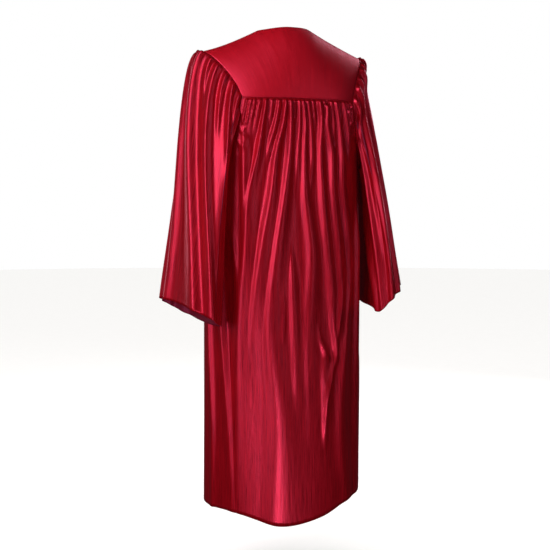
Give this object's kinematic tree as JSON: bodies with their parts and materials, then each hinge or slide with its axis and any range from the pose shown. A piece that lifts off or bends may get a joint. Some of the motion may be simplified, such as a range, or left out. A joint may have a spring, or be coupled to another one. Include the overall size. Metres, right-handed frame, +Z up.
{
  "type": "graduation gown",
  "caption": "Long graduation gown in crimson satin, held out as worn: smooth yokes, gathered back, pleated fronts, wide bell sleeves and a zip down the front.",
  "frame": {"origin": "between the two neck points of the shoulder line, on the gown's middle, where the wearer's shoulders carry it", "axes": "+Z up, -Y to the front, +X to the wearer's left"},
  "size_m": [0.6673, 0.3521, 1.2887],
  "materials": {
    "satin": "shiny crimson satin, smooth with a high sheen",
    "zip_tape": "matt woven tape in the gown's crimson",
    "zip_coil": "nylon coil in the gown's crimson",
    "zip_metal": "plated zinc"
  },
  "bodies": {
    "gown": {"back_yoke": "satin", "front_yoke_left": "satin", "front_yoke_right": "satin", "back": "satin", "front_left": "satin", "front_right": "satin", "sleeve_left": "satin", "sleeve_right": "satin", "zip_tape_left": "zip_tape", "zip_tape_right": "zip_tape", "zip_coil": "zip_coil", "zip_slider": "zip_metal"},
    "zip_pull": {"zip_pull": "zip_metal"}
  },
  "joints": [
    {"name": "zip_pull_hinge", "type": "hinge", "parent": "gown", "child": "zip_pull", "pos_m": [0, -0.11861, -0.147], "axis": [-1, 0, 0], "range_deg": [0, 170]}
  ]
}
